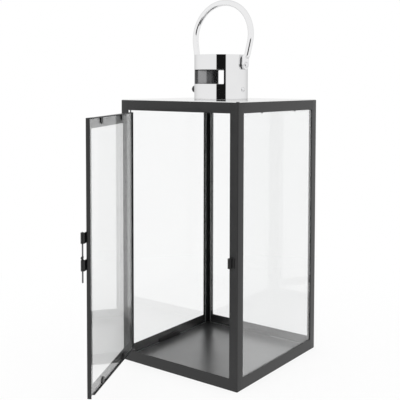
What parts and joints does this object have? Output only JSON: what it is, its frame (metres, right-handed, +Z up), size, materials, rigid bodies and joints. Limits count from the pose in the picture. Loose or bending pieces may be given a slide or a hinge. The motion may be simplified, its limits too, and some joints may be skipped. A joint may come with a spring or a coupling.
{
  "type": "lantern floor lamp",
  "caption": "Square glazed floor lantern of black metal angles with a hinged glass door, a drop pin latch, a polished chimney collar and a swinging loop handle.",
  "frame": {"origin": "centre of the square body's underside, on the floor", "axes": "+Z up; the front with the door faces -Y, so +X is to the right of someone who faces the door"},
  "size_m": [0.228, 0.4088, 0.583],
  "materials": {
    "black_frame": "satin black",
    "satin_black_base": "satin black",
    "black_latch": "satin black",
    "polished_roof": "polished",
    "polished_collar": "polished",
    "plain_steel": "plain sheet",
    "polished_handle": "polished",
    "steel_fasteners": "polished",
    "dark_nut": "dark, glossy",
    "pin_steel": "drawn wire",
    "clear_glass": "clear"
  },
  "bodies": {
    "lantern": {"base_plate": "satin_black_base", "bottom_rail_back": "black_frame", "bottom_rail_front": "black_frame", "bottom_rail_left": "black_frame", "bottom_rail_right": "black_frame", "cap_nut": "dark_nut", "collar": "polished_collar", "cross_bolt": "steel_fasteners", "glass_back": "clear_glass", "glass_left": "clear_glass", "glass_right": "clear_glass", "handle_rivet_left": "steel_fasteners", "handle_rivet_right": "steel_fasteners", "hinge_lug_bottom": "black_frame", "hinge_lug_top": "black_frame", "latch_keeper": "black_latch", "pane_clips_back": "black_frame", "pane_clips_left": "black_frame", "pane_clips_right": "black_frame", "pane_edge_clip": "black_frame", "pane_stop_back": "black_frame", "pane_stop_left": "black_frame", "pane_stop_right": "black_frame", "post_back_left": "black_frame", "post_back_right": "black_frame", "post_front_left": "black_frame", "post_front_right": "black_frame", "roof_plate": "polished_roof", "top_rail_back": "black_frame", "top_rail_front": "black_frame", "top_rail_left": "black_frame", "top_rail_right": "black_frame", "vent_neck": "plain_steel"},
    "door": {"door_clips_bottom": "black_frame", "door_clips_top": "black_frame", "door_glass": "clear_glass", "door_rail_bottom": "black_frame", "door_rail_top": "black_frame", "door_stile_hinge": "black_frame", "door_stile_latch": "black_frame", "hinge_pin_bottom": "pin_steel", "hinge_pin_top": "pin_steel", "latch_guide_lower": "black_latch", "latch_guide_upper": "black_latch"},
    "drop_pin": {"latch_pin": "pin_steel", "latch_knob": "pin_steel"},
    "bail_handle": {"handle": "polished_handle"}
  },
  "joints": [
    {"name": "door_hinge", "type": "hinge", "parent": "lantern", "child": "door", "pos_m": [-0.0959, -0.1117, 0.21015], "axis": [0, 0, -1], "range_deg": [-64, 44]},
    {"name": "latch_pin_slide", "type": "slide", "parent": "door", "child": "drop_pin", "axis": [0, 0, 1], "range_m": [0, 0.0172]},
    {"name": "handle_swing", "type": "hinge", "parent": "lantern", "child": "bail_handle", "pos_m": [0, 0, 0.4768], "axis": [1, 0, 0], "range_deg": [-115, 124]}
  ]
}
